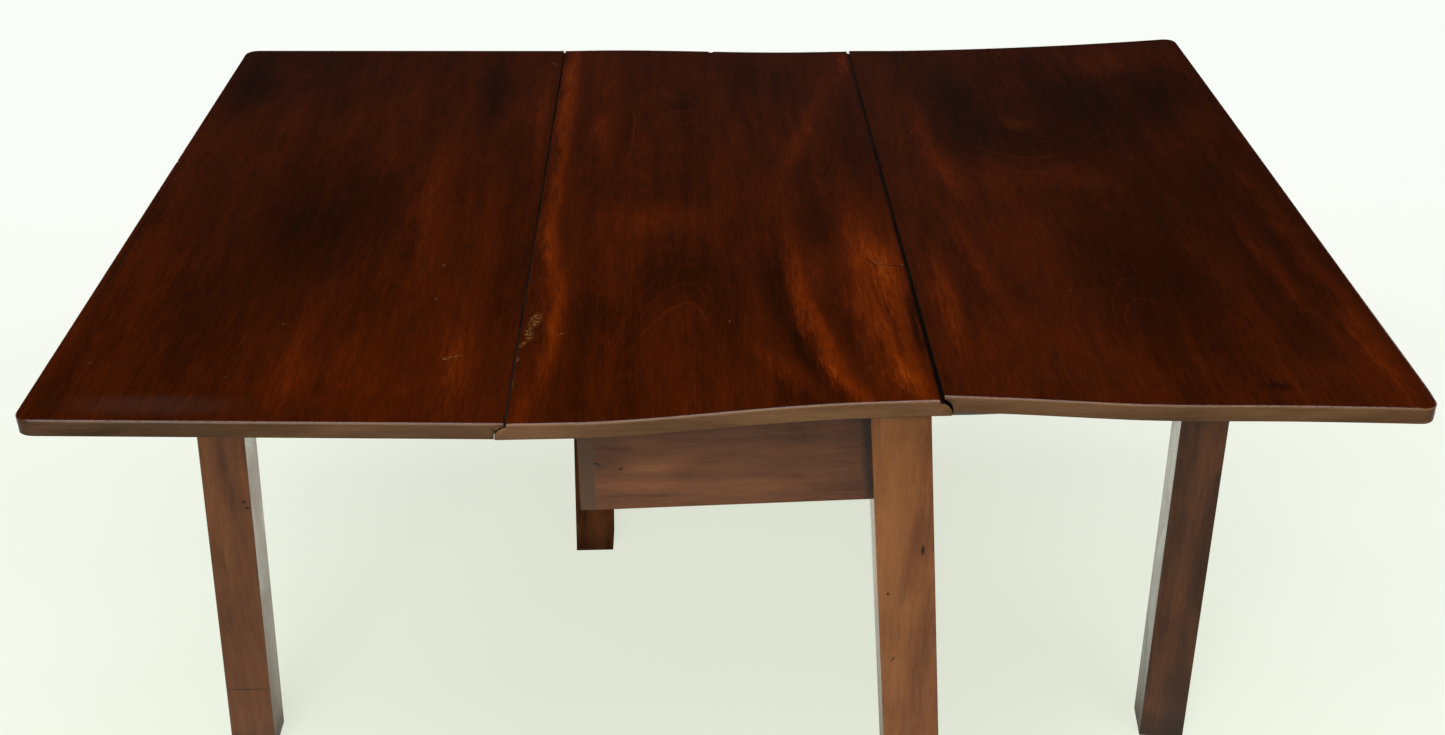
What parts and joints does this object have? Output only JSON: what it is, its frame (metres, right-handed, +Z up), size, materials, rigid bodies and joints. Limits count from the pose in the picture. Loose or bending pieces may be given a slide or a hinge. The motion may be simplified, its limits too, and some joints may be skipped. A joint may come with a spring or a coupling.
{
  "type": "drop leaf table",
  "caption": "Drop leaf table with a fixed centre board, hinged leaves on rule joints, square legs and swinging gate legs that hold the leaves up.",
  "frame": {"origin": "on the floor, at the middle of the open outline", "axes": "+X towards the right leaf, across the seams; +Y towards the far end, along the seams; +Z up"},
  "size_m": [1.194, 0.92, 0.711],
  "materials": {
    "top_mahogany": "old polish, semi-gloss",
    "frame_mahogany": "waxed, satin",
    "inner_oak": "unfinished, matt",
    "hinge_iron": "old wrought iron, matt",
    "screw_steel": "dulled steel"
  },
  "bodies": {
    "frame": {"centre_board": "top_mahogany", "near_right_leg": "frame_mahogany", "far_left_leg": "frame_mahogany", "near_apron": "frame_mahogany", "far_apron": "frame_mahogany", "left_fixed_rail": "frame_mahogany", "right_fixed_rail": "frame_mahogany", "left_inner_rail": "inner_oak", "right_inner_rail": "inner_oak", "top_blocks": "inner_oak", "corner_blocks": "inner_oak", "left_board_flaps": "hinge_iron", "left_hinge_pins": "hinge_iron", "left_gate_pin": "hinge_iron", "right_board_flaps": "hinge_iron", "right_hinge_pins": "hinge_iron", "right_gate_pin": "hinge_iron", "left_board_screws": "screw_steel", "left_rail_screws": "screw_steel", "right_board_screws": "screw_steel", "right_rail_screws": "screw_steel", "top_screws": "screw_steel"},
    "left_leaf": {"left_leaf": "top_mahogany", "left_leaf_flaps": "hinge_iron", "left_leaf_screws": "screw_steel"},
    "right_leaf": {"right_leaf": "top_mahogany", "right_leaf_flaps": "hinge_iron", "right_leaf_screws": "screw_steel"},
    "left_gate": {"left_gate_rail": "frame_mahogany", "left_gate_leg": "frame_mahogany"},
    "right_gate": {"right_gate_rail": "frame_mahogany", "right_gate_leg": "frame_mahogany"}
  },
  "joints": [
    {"name": "left_gate_swing", "type": "hinge", "parent": "frame", "child": "left_gate", "pos_m": [-0.1469, -0.021, 0.6465], "axis": [0, 0, 1], "range_deg": [-10, 90]},
    {"name": "right_gate_swing", "type": "hinge", "parent": "frame", "child": "right_gate", "pos_m": [0.1419, 0.021, 0.6465], "axis": [0, 0, 1], "range_deg": [-4, 96]},
    {"name": "left_leaf_lift", "type": "hinge", "parent": "frame", "child": "left_leaf", "pos_m": [-0.182, 0, 0.6976], "axis": [0, 1, 0], "range_deg": [0, 5]},
    {"name": "right_leaf_lift", "type": "hinge", "parent": "frame", "child": "right_leaf", "pos_m": [0.177, 0, 0.6976], "axis": [0, -1, 0], "range_deg": [0, 5]}
  ]
}
